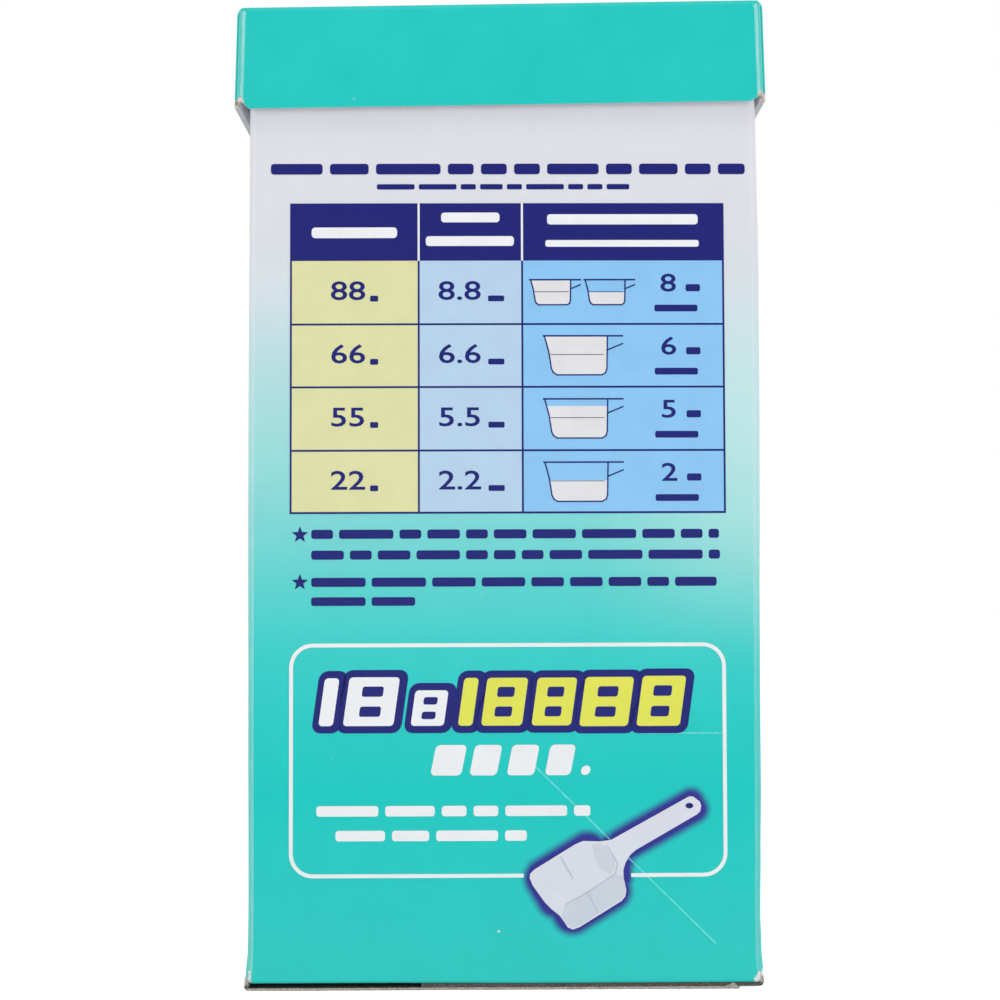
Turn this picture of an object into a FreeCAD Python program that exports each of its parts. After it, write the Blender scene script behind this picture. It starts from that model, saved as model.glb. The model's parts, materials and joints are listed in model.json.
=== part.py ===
"""Washing powder box: a folded carton with a hinged lid, its powder and its measuring scoop.

The carton stands on its base. X is the width of the near face, Y runs away from it through the
depth, and Z is up. The origin is the middle of the base, on the surface that the carton stands on.
"""
import FreeCAD
import Part
import Sketcher
import math
import os
import re

# Every size in millimetres, unless its words say otherwise.
SIZES = {
    # carton: a tube of folded board
    "box_width": (112.4, "across the near face"),
    "box_depth": (150.0, "from the near face to the far face"),
    "board": (0.6, "thickness of the board"),
    "fold_radius": (1.5, "outside radius of an upright fold"),
    "base_fold": (0.9, "outside radius of the folds at the base"),
    "crease_height": (195.2, "crease on the far panel that the lid turns about"),
    "wall_drop": (5.0, "top of the near and side walls below the top of the lid"),
    "cheek_start": (3.0, "side walls short of the far face, at the crease"),
    "cheek_slant": (22.0, "side walls short of the far face, at their top"),
    "seam_width": (16.0, "glue flap inside the right wall, at the far corner"),
    "seam_setback": (0.5, "raw edge of the right panel short of the far face"),
    "dust_flap": (48.0, "reach of the near and far base flaps"),
    "inner_flap_gap": (38.0, "inner long base flap short of the left face"),
    "outer_flap_gap": (4.6, "outer long base flap short of the right face"),
    "flap_setback": (0.4, "long base flaps short of the near and far faces"),
    # lid: above the crease the far panel goes on as the lid's far skirt
    "lid_height": (23.3, "from the crease to the top"),
    "lid_clearance": (1.35, "between a side wall and the tab in the lid, at the top"),
    "swing_clearance": (0.3, "between the near skirt and the near wall's top as the lid swings"),
    "lid_flare": (0.6, "how far a side skirt spreads at its lower edge"),
    "lid_shift": (0.3, "how far the lid sits to the left"),
    "lid_roll": (0.85, "degrees that the lid's near end is turned, right side up"),
    "tab_length": (26.0, "tabs of the near and far skirts, glued inside the side skirts"),
    "crease_gap": (0.2, "open width of the crease"),
    "nick_width": (3.0, "worn corner of the near skirt, along its lower edge"),
    "nick_height": (1.4, "worn corner of the near skirt, up its fold"),
    # powder
    "free_height": (18.2, "from the level that the scoop stands on up to the crease"),
    "powder_clearance": (0.3, "between the powder and the board"),
    "powder_slope": (3.0, "drop of the powder from its far side to its near side"),
    "powder_ripple": (0.5, "height of the waves left in the powder"),
    "wave_across": (9.0, "spacing of those waves across the width, over tau"),
    "wave_along": (11.0, "spacing of those waves along the depth, over tau"),
    "hollow_depth": (15.0, "depth of the hollow that was scooped out"),
    "hollow_radius": (46.0, "radius of that hollow"),
    "hollow_x": (-16.0, "middle of that hollow"),
    "hollow_y": (-36.0, "middle of that hollow"),
    # measuring scoop
    "scoop_wall": (1.2, "thickness of the bowl"),
    "bowl_height": (25.0, "height of the bowl"),
    "floor_length": (38.0, "length of the bowl's floor"),
    "floor_width": (33.0, "width of the bowl's floor"),
    "toe_width": (18.0, "width of the bowl's floor under the lip"),
    "lip_reach": (15.0, "rim ahead of the floor, at the pouring lip"),
    "heel_reach": (3.0, "rim behind the floor, at the handle"),
    "side_reach": (4.0, "rim beside the floor"),
    "lip_width": (20.0, "width of the rim at the pouring lip"),
    "lip_taper": (13.0, "length over which the bowl narrows to the lip"),
    "rim_width": (1.4, "how far the rim stands out from the bowl"),
    "rim_height": (1.4, "thickness of the rim"),
    "bowl_corner": (5.0, "radius of the bowl's upright corners"),
    "bowl_foot": (2.6, "radius round the bowl's floor"),
    "mark_depth": (0.35, "depth of the level marks inside the bowl"),
    "mark_width": (0.6, "width of the level marks inside the bowl"),
    "handle_length": (62.0, "handle from the bowl's rim to its end"),
    "handle_width": (15.0, "width of the handle"),
    "handle_web": (1.6, "thickness of the handle's web"),
    "handle_rib": (4.4, "height of the ribs along the handle"),
    "rib_width": (1.3, "thickness of the handle's ribs and of the brace"),
    "brace_reach": (30.0, "brace under the handle, along it from the bowl"),
    "brace_foot": (0.45, "where the brace meets the bowl, as a share of its height"),
    "hole_radius": (2.75, "hanging hole in the handle"),
    "hole_setback": (7.5, "hole from the handle's end"),
    "scoop_x": (25.0, "middle of the scoop's floor"),
    "scoop_y": (27.0, "middle of the scoop's floor"),
    "scoop_turn": (-84.0, "degrees from +X to the way that the handle points"),
    "scoop_clearance": (0.2, "between the scoop's floor and the powder"),
}
LEVEL_MARKS = (0.4, 0.7)  # shares of the bowl's height
FOOT_STEPS = 3  # facets round the foot of the scoop's bowl
FOLD_STEPS = 3  # facets round the lid's fold over its near skirt
FIRST_RADIUS = 0.2  # an arc's radius before its size is tied to the sheet
HANDLE_ROUNDING = 0.45  # radius of the corners at the handle's end, as a share of its width
POWDER_POINTS = 13  # surface points across the powder, each way

# Places that several features share, written in the sizes.
LID_TOP = "(crease_height + lid_height)"
LID_LOW = "(crease_height + crease_gap)"
WALL_TOP = "(crease_height + lid_height - wall_drop)"
SWING = "sqrt(box_depth ^ 2 + (lid_height - wall_drop) ^ 2)"  # crease to the near wall's top edge
NEAR_FACE = "(box_depth / 2 - %s - swing_clearance - board)" % SWING  # outside of the near skirt
POWDER_TOP = "(crease_height - free_height)"
TAB_INSIDE = "box_width / 2 + lid_clearance"
RIM_BACK = "floor_length / 2 + heel_reach"

doc = FreeCAD.newDocument("washing_powder_box")


def fill_sheet():
    sheet = doc.addObject("Spreadsheet::Sheet", "sizes")
    for row, (alias, (number, meaning)) in enumerate(SIZES.items(), start=1):
        sheet.set("A%d" % row, str(number))
        sheet.setAlias("A%d" % row, alias)
        sheet.set("B%d" % row, meaning)
    doc.recompute()


def value(alias):
    return doc.sizes.get(alias)


def tied(expression):
    """The expression with each size's name pointing at its cell in the sheet."""
    def point_at_cell(match):
        word = match.group()
        return "sizes." + word if word in SIZES else word
    return re.sub(r"[a-z_]+", point_at_cell, expression)


def new_body(label):
    body = doc.addObject("PartDesign::Body", label)
    body.Label = label
    return body


def new_sketch(body, name, plane, offset):
    sketch = body.newObject("Sketcher::SketchObject", name)
    support = next(item for item in body.Origin.OriginFeatures if item.Role == plane)
    sketch.AttachmentSupport = (support, [""])
    sketch.MapMode = "FlatFace"
    sketch.setExpression("AttachmentOffset.Base.z", tied(offset))
    return sketch


def hold(sketch, constraint, size):
    number = sketch.addConstraint(constraint)
    sketch.setExpression("Constraints[%d]" % number, tied(size))


def outline(body, name, plane, offset, corners):
    """A closed outline. Each corner is its two places and, where it is round, its radius."""
    sketch = new_sketch(body, name, plane, offset)
    count = len(corners)
    angles = [math.tau * index / count for index in range(count)]
    ring = [FreeCAD.Vector(10 * math.cos(angle), 10 * math.sin(angle), 0) for angle in angles]
    for index in range(count):
        sketch.addGeometry(Part.LineSegment(ring[index], ring[(index + 1) % count]), False)
    for index in range(count):
        sketch.addConstraint(Sketcher.Constraint("Coincident", index, 2, (index + 1) % count, 1))
    for index, corner in enumerate(corners):
        start = ring[index]
        hold(sketch, Sketcher.Constraint("DistanceX", -1, 1, index, 1, start.x), corner[0])
        hold(sketch, Sketcher.Constraint("DistanceY", -1, 1, index, 1, start.y), corner[1])
    doc.recompute()
    for index, corner in enumerate(corners):
        if len(corner) == 3:
            sketch.fillet(index, 1, FIRST_RADIUS, True, True)
            arc = max(number for number, item in enumerate(sketch.Geometry)
                      if isinstance(item, Part.ArcOfCircle))
            hold(sketch, Sketcher.Constraint("Radius", arc, FIRST_RADIUS), corner[2])
    doc.recompute()
    return sketch


def disc(body, name, plane, offset, across, along, radius):
    sketch = new_sketch(body, name, plane, offset)
    upright = FreeCAD.Vector(0, 0, 1)
    sketch.addGeometry(Part.Circle(FreeCAD.Vector(1, 1, 0), upright, FIRST_RADIUS), False)
    hold(sketch, Sketcher.Constraint("DistanceX", -1, 1, 0, 3, 1), across)
    hold(sketch, Sketcher.Constraint("DistanceY", -1, 1, 0, 3, 1), along)
    hold(sketch, Sketcher.Constraint("Radius", 0, FIRST_RADIUS), radius)
    doc.recompute()
    return sketch


def rectangle(left, right, low, high):
    return [(left, low), (right, low), (right, high), (left, high)]


def pad(body, name, sketch, length, side="One side"):
    feature = body.newObject("PartDesign::Pad", name)
    feature.Profile = sketch
    feature.SideType = side
    feature.setExpression("Length", tied(length))
    doc.recompute()
    return feature


def pocket(body, name, sketch, length, against=False, side="One side"):
    """Cuts along the sketch's normal where against is set, and otherwise the other way."""
    feature = body.newObject("PartDesign::Pocket", name)
    feature.Profile = sketch
    feature.SideType = side
    feature.Reversed = against
    feature.setExpression("Length", tied(length))
    doc.recompute()
    return feature


def loft(body, kind, name, sections):
    feature = body.newObject("PartDesign::" + kind, name)
    feature.Profile = sections[0]
    feature.Sections = sections[1:]
    feature.Ruled = True
    doc.recompute()
    return feature


def fold(body, name, base, chosen, radius):
    """Rounds those edges of the base feature whose bounding box passes the test."""
    edges = ["Edge%d" % number for number, edge in enumerate(base.Shape.Edges, start=1)
             if chosen(edge.BoundBox)]
    feature = body.newObject("PartDesign::Fillet", name)
    feature.Base = (base, edges)
    feature.setExpression("Radius", tied(radius))
    doc.recompute()
    return feature


def is_upright(box):
    return box.ZLength > 10 * max(box.XLength, box.YLength)


def level(first, second):
    return abs(first - second) < 0.01


def build_tube(body):
    """Four panels in one tube, folded at three corners and closed by a glue flap at the fourth."""
    half_width = value("box_width") / 2
    half_depth = value("box_depth") / 2
    board = value("board")
    plan = rectangle("-box_width / 2", "box_width / 2", "-box_depth / 2", "box_depth / 2")
    sketch = outline(body, "tube_plan", "XY_Plane", "2 * board", plan)
    tube = pad(body, "tube", sketch, WALL_TOP + " - 2 * board")

    def is_outer_fold(box):
        at_seam = level(box.Center.x, half_width) and level(box.Center.y, half_depth)
        return is_upright(box) and not at_seam
    folded = fold(body, "upright_folds", tube, is_outer_fold, "fold_radius")
    fold(body, "dust_flap_folds", folded,
         lambda box: level(box.ZMax, 2 * board) and box.XLength > half_width, "base_fold")

    plan = rectangle("-(box_width / 2 - board)", "box_width / 2 - board",
                     "-(box_depth / 2 - board)", "box_depth / 2 - board")
    sketch = outline(body, "hollow_plan", "XY_Plane", "3 * board", plan)
    hollow = pocket(body, "hollow", sketch, WALL_TOP, against=True)

    def is_inner_fold(box):
        across = level(abs(box.Center.x), half_width - board)
        along = level(abs(box.Center.y), half_depth - board)
        return is_upright(box) and across and along
    fold(body, "inner_folds", hollow, is_inner_fold, "fold_radius - board")

    plan = rectangle("-(box_width / 2 - board)", "box_width / 2 - board",
                     "-(box_depth / 2 - dust_flap)", "box_depth / 2 - dust_flap")
    sketch = outline(body, "between_plan", "XY_Plane", "3 * board", plan)
    pocket(body, "between_dust_flaps", sketch, "board")

    plan = rectangle("box_width / 2 - 2 * board", "box_width / 2 - board",
                     "box_depth / 2 - board - seam_width", "box_depth / 2 - board")
    sketch = outline(body, "glue_flap_plan", "XY_Plane", "3 * board", plan)
    pad(body, "glue_flap", sketch, WALL_TOP + " - 3 * board")
    plan = rectangle("box_width / 2 - board", "box_width / 2 + board",
                     "box_depth / 2 - seam_setback", "box_depth / 2 + board")
    sketch = outline(body, "raw_edge_plan", "XY_Plane", "0", plan)
    pocket(body, "raw_edge", sketch, WALL_TOP + " + board", against=True)


def build_base_flap(body, name, side, low, gap):
    """A long base flap, folded in from the left (-1) or right (1) wall, short of the other wall."""
    out = "box_width / 2"
    inside = "(box_width / 2 - board)"
    short = "(box_width / 2 - %s)" % gap
    top = "3 * board + base_fold"
    section = [("%d * %s" % (-side, short), low), ("%d * %s" % (side, out), low),
               ("%d * %s" % (side, out), top), ("%d * %s" % (side, inside), top),
               ("%d * %s" % (side, inside), low + " + board"),
               ("%d * %s" % (-side, short), low + " + board")]
    sketch = outline(body, name + "_section", "XZ_Plane", "0", section)
    flap = pad(body, name, sketch, "box_depth - 2 * flap_setback", side="Symmetric")
    edge_x = side * value("box_width") / 2
    edge_z = value("board") if side > 0 else 0
    fold(body, name + "_fold", flap,
         lambda box: level(box.ZMax, edge_z) and level(box.Center.x, edge_x), "base_fold")


def build_carton():
    """The tube, opened for the lid behind its side walls, and closed below by four glued flaps."""
    body = new_body("carton_body")
    build_tube(body)
    cheeks = [("box_depth / 2 + board", "crease_height"),
              ("box_depth / 2 - cheek_start", "crease_height"),
              ("box_depth / 2 - cheek_slant", WALL_TOP + " + board"),
              ("box_depth / 2 + board", WALL_TOP + " + board")]
    sketch = outline(body, "cheeks", "YZ_Plane", "0", cheeks)
    pocket(body, "lid_opening", sketch, "2 * box_width", side="Symmetric")
    build_base_flap(body, "outer_flap", -1, "0", "outer_flap_gap")
    build_base_flap(body, "inner_flap", 1, "board", "inner_flap_gap")
    return body


def tilt(along):
    """Rise of the lid for each millimetre to the right: none at the crease, all at the near face."""
    reach = "(box_depth / 2 - (%s)) / (box_depth / 2 - %s)" % (along, NEAR_FACE)
    return "tan(lid_roll) * " + reach


def lid_section(body, name, along, half_width, low, high, rounding=""):
    """The lid's cross-section at a place along the depth, spread at its lower edge."""
    spread = half_width + " + lid_flare"
    corners = []
    for side, half, height in (("-", spread, low), ("+", spread, low),
                               ("+", half_width, high), ("-", half_width, high)):
        across = "(-lid_shift %s (%s))" % (side, half)
        corner = (across, "%s + %s * %s" % (height, across, tilt(along)))
        if rounding and height == high:
            corner += (rounding,)
        corners.append(corner)
    return outline(body, name, "XZ_Plane", "-(%s)" % along, corners)


def tray_sections(body, name, start, end, half_width, low, high, radius):
    """Sections of a block that is rounded in steps over its near end, and along its top edges."""
    sections = []
    for step in range(FOLD_STEPS + 1):
        angle = "%g" % (90 * step / FOLD_STEPS)
        along = "%s + (%s) * (1 - cos(%s))" % (start, radius, angle)
        inset = "(%s) * (1 - sin(%s))" % (radius, angle)
        sections.append(lid_section(body, "%s_%d" % (name, step), along, half_width + " - " + inset,
                                    low, high + " - " + inset, "fold_radius - board"))
    sections.append(lid_section(body, name + "_far", end, half_width, low, high, "fold_radius - board"))
    return sections


def wear_corner(body, name, side):
    """Takes the worn lower corner off the near skirt, where it folds round to its tab."""
    across = "(-lid_shift %s (%s + board + lid_flare))" % (side, TAB_INSIDE)
    low = "(%s + %s * tan(lid_roll))" % (LID_LOW, across)
    outside = "%s %s board" % (across, side)
    inside = "%s - (%s nick_width)" % (across, side)
    corners = [(inside, low + " - board"), (outside, low + " - board"),
               (outside, low + " + nick_height"), (across, low + " + nick_height"), (inside, low)]
    sketch = outline(body, name + "_shape", "XZ_Plane", "-(%s - board)" % NEAR_FACE, corners)
    pocket(body, name, sketch, "2 * board + fold_radius")


def build_lid():
    """A tray folded from one sheet: the side skirts lie over tabs of the near and far skirts."""
    body = new_body("lid")
    skirt = TAB_INSIDE + " + 2 * board"
    tab = TAB_INSIDE + " + board"
    ends = [NEAR_FACE + " + fold_radius + board", "box_depth / 2 - seam_setback"]
    loft(body, "AdditiveLoft", "side_skirts",
         [lid_section(body, "side_skirts_%d" % number, end, skirt, LID_LOW, LID_TOP, "fold_radius")
          for number, end in enumerate(ends)])
    loft(body, "AdditiveLoft", "core",
         tray_sections(body, "core", NEAR_FACE, "box_depth / 2", tab, LID_LOW, LID_TOP, "fold_radius"))

    below = "crease_height - board"
    under_top = LID_TOP + " - board"
    loft(body, "SubtractiveLoft", "hollow_at_tabs",
         tray_sections(body, "at_tabs", NEAR_FACE + " + board", "box_depth / 2 - board", TAB_INSIDE,
                       below, under_top, "fold_radius - board"))
    ends = [NEAR_FACE + " + board + tab_length", "box_depth / 2 - board - tab_length"]
    loft(body, "SubtractiveLoft", "hollow_between_tabs",
         [lid_section(body, "between_tabs_%d" % number, end, tab, below, under_top, "fold_radius - board")
          for number, end in enumerate(ends)])
    wear_corner(body, "left_wear", "-")
    wear_corner(body, "right_wear", "+")
    return body


def powder_level(x, y):
    """Height of the loose powder: a slope, slight waves, and the hollow that scooping left."""
    half_depth = value("box_depth") / 2
    across = x / value("wave_across")
    along = y / value("wave_along")
    ripple = value("powder_ripple") * (math.sin(across + along / 2) + math.sin(along - across / 2) - 2)
    slope = value("powder_slope") * (y - half_depth) / value("box_depth")
    away = math.hypot(x - value("hollow_x"), y - value("hollow_y")) / value("hollow_radius")
    hollow = value("hollow_depth") * (1 + math.cos(math.pi * min(away, 1))) / 2
    seat = math.hypot(value("floor_length"), value("floor_width")) / 2
    from_scoop = math.hypot(x - value("scoop_x"), y - value("scoop_y"))
    loose = min(max(from_scoop / seat - 1, 0), 1) ** 2
    seat_level = value("crease_height") - value("free_height") - value("scoop_clearance")
    return seat_level + loose * (ripple + slope - hollow)


def build_powder():
    """The powder fills the carton round the glue flap, up to its uneven surface."""
    fill = new_body("powder_fill")
    right = "box_width / 2 - board - powder_clearance"
    far = "box_depth / 2 - board - powder_clearance"
    flap = "box_depth / 2 - board - seam_width - powder_clearance"
    plan = [("-(%s)" % right, "-(%s)" % far), (right, "-(%s)" % far), (right, flap),
            (right + " - board", flap), (right + " - board", far), ("-(%s)" % right, far)]
    sketch = outline(fill, "fill_plan", "XY_Plane", "3 * board", plan)
    pad(fill, "fill", sketch, "crease_height - 3 * board")

    width = value("box_width")
    depth = value("box_depth")
    steps = [index / (POWDER_POINTS - 1) - 0.5 for index in range(POWDER_POINTS)]
    points = [[FreeCAD.Vector(width * across, depth * along, powder_level(width * across, depth * along))
               for along in steps] for across in steps]
    surface = Part.BSplineSurface()
    surface.interpolate(points)
    above = doc.addObject("Part::Feature", "above_powder")
    above.Shape = surface.toShape().extrude(FreeCAD.Vector(0, 0, value("crease_height")))
    powder = doc.addObject("Part::Cut", "washing_powder")
    powder.Label = "washing_powder"
    powder.Base = fill
    powder.Tool = above
    doc.recompute()
    return powder


def bowl_outline(body, name, height, inset, share):
    """The bowl from above, set in by a distance. Share is 0 for its floor's size, 1 for its rim's.

    The heel is straight, and the sides narrow to the lip, so each corner moves in along its bisector.
    """
    side = "(floor_width / 2 + side_reach * %s)" % share
    lip = "(toe_width / 2 + (lip_width - toe_width) / 2 * %s)" % share
    front = "(floor_length / 2 + lip_reach * %s)" % share
    back = "floor_length / 2 + heel_reach * %s - (%s)" % (share, inset)
    slant = "atan((%s - %s) / lip_taper)" % (side, lip)
    shoulder = "-%s + lip_taper + (%s) * tan(%s / 2)" % (front, inset, slant)
    half = "(%s - (%s))" % (side, inset)
    toe = "(%s - (%s) * tan(45 deg - %s / 2))" % (lip, inset, slant)
    tip = "-%s + (%s)" % (front, inset)
    radius = "bowl_corner - (%s)" % inset
    corners = [(back, "-" + half, radius), (back, half, radius), (shoulder, half, radius),
               (tip, toe, radius), (tip, "-" + toe, radius), (shoulder, "-" + half, radius)]
    return outline(body, name, "XY_Plane", height, corners)


def bowl_sections(body, name, wall, top):
    """Outlines up the bowl at one side of its wall: round the foot in steps, then to the top."""
    sections = []
    for step in range(FOOT_STEPS + 1):
        angle = "%g" % (90 * step / FOOT_STEPS)
        height = "bowl_foot - (bowl_foot - %s) * cos(%s)" % (wall, angle)
        inset = "bowl_foot - (bowl_foot - %s) * sin(%s)" % (wall, angle)
        share = "((%s) / bowl_height)" % height
        sections.append(bowl_outline(body, "%s_%d" % (name, step), height, inset, share))
    sections.append(bowl_outline(body, name + "_top", top, wall, "((%s) / bowl_height)" % top))
    return sections


def build_handle(body):
    """A flat handle with a rib round its edge, a hanging hole and a brace down to the bowl."""
    end = RIM_BACK + " + handle_length"
    half = "handle_width / 2"
    rounding = "handle_width * %g" % HANDLE_ROUNDING
    plan = [(RIM_BACK, "-" + half), (end, "-" + half, rounding), (end, half, rounding), (RIM_BACK, half)]
    sketch = outline(body, "handle_plan", "XY_Plane", "bowl_height - handle_rib", plan)
    pad(body, "handle", sketch, "handle_rib")
    start = RIM_BACK + " + rim_width + rib_width"
    end = end + " - rib_width"
    half = "(handle_width / 2 - rib_width)"
    rounding += " - rib_width"
    plan = [(start, "-" + half), (end, "-" + half, rounding), (end, half, rounding), (start, half)]
    sketch = outline(body, "channel_plan", "XY_Plane", "bowl_height - handle_web", plan)
    pocket(body, "handle_channel", sketch, "handle_rib")
    hole_place = RIM_BACK + " + handle_length - hole_setback"
    sketch = disc(body, "hole_plan", "XY_Plane", "bowl_height", hole_place, "0", "hole_radius")
    pocket(body, "hanging_hole", sketch, "handle_rib")
    brace = [("floor_length / 2 + heel_reach * brace_foot - scoop_wall / 2", "bowl_height * brace_foot"),
             (RIM_BACK + " + brace_reach", "bowl_height - handle_web / 2"),
             (RIM_BACK + " - scoop_wall / 2", "bowl_height - handle_web / 2")]
    sketch = outline(body, "brace_side", "XZ_Plane", "0", brace)
    pad(body, "brace", sketch, "rib_width", side="Symmetric")


def build_scoop():
    """A moulded scoop: a bowl that narrows to a pouring lip, a rim, and a ribbed handle."""
    body = new_body("measuring_scoop")
    loft(body, "AdditiveLoft", "bowl", bowl_sections(body, "bowl", "0", "bowl_height"))
    plan = bowl_outline(body, "rim_plan", "bowl_height - rim_height", "-rim_width", "1")
    pad(body, "rim", plan, "rim_height")
    build_handle(body)
    above = "(bowl_height + rim_height)"
    loft(body, "SubtractiveLoft", "bowl_hollow", bowl_sections(body, "hollow", "scoop_wall", above))
    for number, share in enumerate(LEVEL_MARKS, start=1):
        plan = bowl_outline(body, "mark_plan_%d" % number, "bowl_height * %g" % share,
                            "scoop_wall - mark_depth", "%g" % share)
        pocket(body, "level_mark_%d" % number, plan, "mark_width")

    body.Placement.Rotation = FreeCAD.Rotation(FreeCAD.Vector(0, 0, 1), value("scoop_turn"))
    body.setExpression("Placement.Rotation.Angle", tied("scoop_turn"))
    body.setExpression("Placement.Base.x", tied("scoop_x"))
    body.setExpression("Placement.Base.y", tied("scoop_y"))
    body.setExpression("Placement.Base.z", tied(POWDER_TOP))
    doc.recompute()
    return body


def write_parts(parts):
    for item in doc.Objects:
        if "Invalid" in item.State or "Error" in item.State:
            raise RuntimeError("%s is in state %s" % (item.Name, item.State))
    for part in parts:
        if part.Shape.isNull() or not part.Shape.isValid() or len(part.Shape.Solids) != 1:
            raise RuntimeError("%s has no valid solid" % part.Label)
    os.makedirs("parts", exist_ok=True)
    for part in parts:
        part.Shape.exportStep("parts/%s.step" % part.Label)
        print(part.Label, "%.0f mm3" % part.Shape.Volume)


fill_sheet()
write_parts([build_carton(), build_lid(), build_powder(), build_scoop()])
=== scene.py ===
"""Washing powder box: the looks of its folded board, print, powder and measuring scoop.

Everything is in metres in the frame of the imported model: X across the near panel, Y away from
it, Z up. Sizes are written in millimetres and turned to metres by mm(). The print is drawn flat,
in millimetres across and up from the middle of the near panel's foot, and then laid on the panel.
"""
import bmesh
import bpy
import json
import math
import random
from mathutils import Matrix, Vector


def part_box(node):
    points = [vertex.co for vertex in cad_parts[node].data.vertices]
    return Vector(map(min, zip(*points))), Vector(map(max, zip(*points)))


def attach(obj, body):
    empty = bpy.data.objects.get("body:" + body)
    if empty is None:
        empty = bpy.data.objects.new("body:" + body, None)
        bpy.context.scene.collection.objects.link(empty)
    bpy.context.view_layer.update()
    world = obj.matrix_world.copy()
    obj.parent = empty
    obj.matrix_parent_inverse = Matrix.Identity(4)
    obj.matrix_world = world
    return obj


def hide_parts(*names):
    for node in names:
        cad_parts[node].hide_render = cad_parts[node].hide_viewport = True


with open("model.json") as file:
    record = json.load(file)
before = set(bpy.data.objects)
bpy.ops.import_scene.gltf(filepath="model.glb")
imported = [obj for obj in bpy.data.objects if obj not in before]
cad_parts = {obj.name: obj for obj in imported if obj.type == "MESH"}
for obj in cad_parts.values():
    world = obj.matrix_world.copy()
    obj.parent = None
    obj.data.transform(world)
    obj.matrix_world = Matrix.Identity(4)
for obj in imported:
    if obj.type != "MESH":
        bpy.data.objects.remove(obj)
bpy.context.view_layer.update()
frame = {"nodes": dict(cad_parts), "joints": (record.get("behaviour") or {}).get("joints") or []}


def mm(size):
    """Turns millimetres into metres."""
    return size / 1000


def share_of(value):
    """Keeps a share between 0 and 1."""
    return min(max(value, 0), 1)


# Places and sizes read from the frame
CARTON_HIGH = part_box("carton_body")[1]
LID_LOW, LID_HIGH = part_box("lid")
HALF_WIDTH = CARTON_HIGH.x
HALF_DEPTH = CARTON_HIGH.y
CREASE = frame["joints"][0]["pos_m"][2]

# Print on the near panel, in millimetres
TABLE_LEFT, TABLE_RIGHT = -47.2, 49.4
TABLE_TOP, TABLE_FOOT = 173.7, 104.5
HEADER_FOOT = 160.8
ROW_LINES = (146.6, 132.6, 118.5)
ROW_EDGES = (HEADER_FOOT,) + ROW_LINES + (TABLE_FOOT,)
COLUMN_LINES = (-18.6, 4.4)
RULE = 0.45
FRAME_LEFT, FRAME_RIGHT = -46.8, 48.7
FRAME_TOP, FRAME_FOOT = 75.5, 25.0
FRAME_GAP = (4.3, 27.9)  # the pictured scoop hides the frame's foot here
FRAME_CORNER = 4.8
FRAME_LINE = 0.85

random.seed(7)


def linear(code):
    """Linear colour of an sRGB hex value."""
    channels = [int(code[start:start + 2], 16) / 255 for start in (1, 3, 5)]
    return tuple(c / 12.92 if c <= 0.04045 else ((c + 0.055) / 1.055) ** 2.4 for c in channels) + (1.0,)


# Nodes of the materials

def add_node(tree, kind, settings=None, links=None):
    """Adds a node. Links give the source, as a socket or a number, of each named input."""
    node = tree.nodes.new(kind)
    for name, setting in (settings or {}).items():
        setattr(node, name, setting)
    for name, source in (links or {}).items():
        if isinstance(source, bpy.types.NodeSocket):
            tree.links.new(source, node.inputs[name])
        else:
            node.inputs[name].default_value = source
    return node


def new_material(name, roughness, sheen, **shader_values):
    """A material with its shader, ready for nodes of its own."""
    material = bpy.data.materials.new(name)
    material.use_nodes = True
    tree = material.node_tree
    shader = tree.nodes["Principled BSDF"]
    shader.inputs["Roughness"].default_value = roughness
    shader.inputs["Specular IOR Level"].default_value = sheen
    for socket, setting in shader_values.items():
        shader.inputs[socket.replace("_", " ")].default_value = setting
    return material, tree, shader


def colour_ramp(tree, source, stops):
    """A ramp through sRGB hex values or linear colours at places from 0 to 1."""
    ramp = add_node(tree, "ShaderNodeValToRGB", links={"Fac": source})
    band = ramp.color_ramp
    while len(band.elements) < len(stops):
        band.elements.new(0.5)
    for element, (place, colour) in zip(band.elements, stops):
        element.position = place
        element.color = linear(colour) if isinstance(colour, str) else colour
    return ramp.outputs["Color"]


def math_node(tree, operation, first, second=0.0, third=0.0):
    """The result of an operation on up to three values."""
    return add_node(tree, "ShaderNodeMath", {"operation": operation},
                    {0: first, 1: second, 2: third}).outputs[0]


def times(tree, first, second):
    """The product of two values."""
    return math_node(tree, "MULTIPLY", first, second)


def vector_node(tree, operation, first, second=(0, 0, 0)):
    """The result of an operation on one or two vectors."""
    return add_node(tree, "ShaderNodeVectorMath", {"operation": operation}, {0: first, 1: second}).outputs


def mix_colour(tree, share, first, second, blend_type="MIX"):
    """Lays the second colour over the first by a share."""
    node = add_node(tree, "ShaderNodeMix", {"data_type": "RGBA", "blend_type": blend_type})
    for socket, source in (("Factor_Float", share), ("A_Color", first), ("B_Color", second)):
        target = next(item for item in node.inputs if item.identifier == socket)
        if isinstance(source, bpy.types.NodeSocket):
            tree.links.new(source, target)
        else:
            target.default_value = source
    return next(item for item in node.outputs if item.identifier == "Result_Color")


def object_place(tree):
    """The place of a point in the frame."""
    return add_node(tree, "ShaderNodeTexCoord").outputs["Object"]


def noise(tree, place, size_mm, detail=2.0):
    """Uneven values from 0 to 1, in spots of the given size."""
    return add_node(tree, "ShaderNodeTexNoise",
                    links={"Vector": place, "Scale": 1 / mm(size_mm), "Detail": detail}).outputs["Fac"]


def surface_grain(tree, shader, place, size_mm, depth_mm):
    """Fine unevenness of a surface. Gives its height too, for a colour to follow."""
    grain = noise(tree, place, size_mm, 3.0)
    bump = add_node(tree, "ShaderNodeBump",
                    links={"Height": grain, "Distance": mm(depth_mm), "Strength": 1.0})
    tree.links.new(bump.outputs["Normal"], shader.inputs["Normal"])
    return grain


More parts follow.
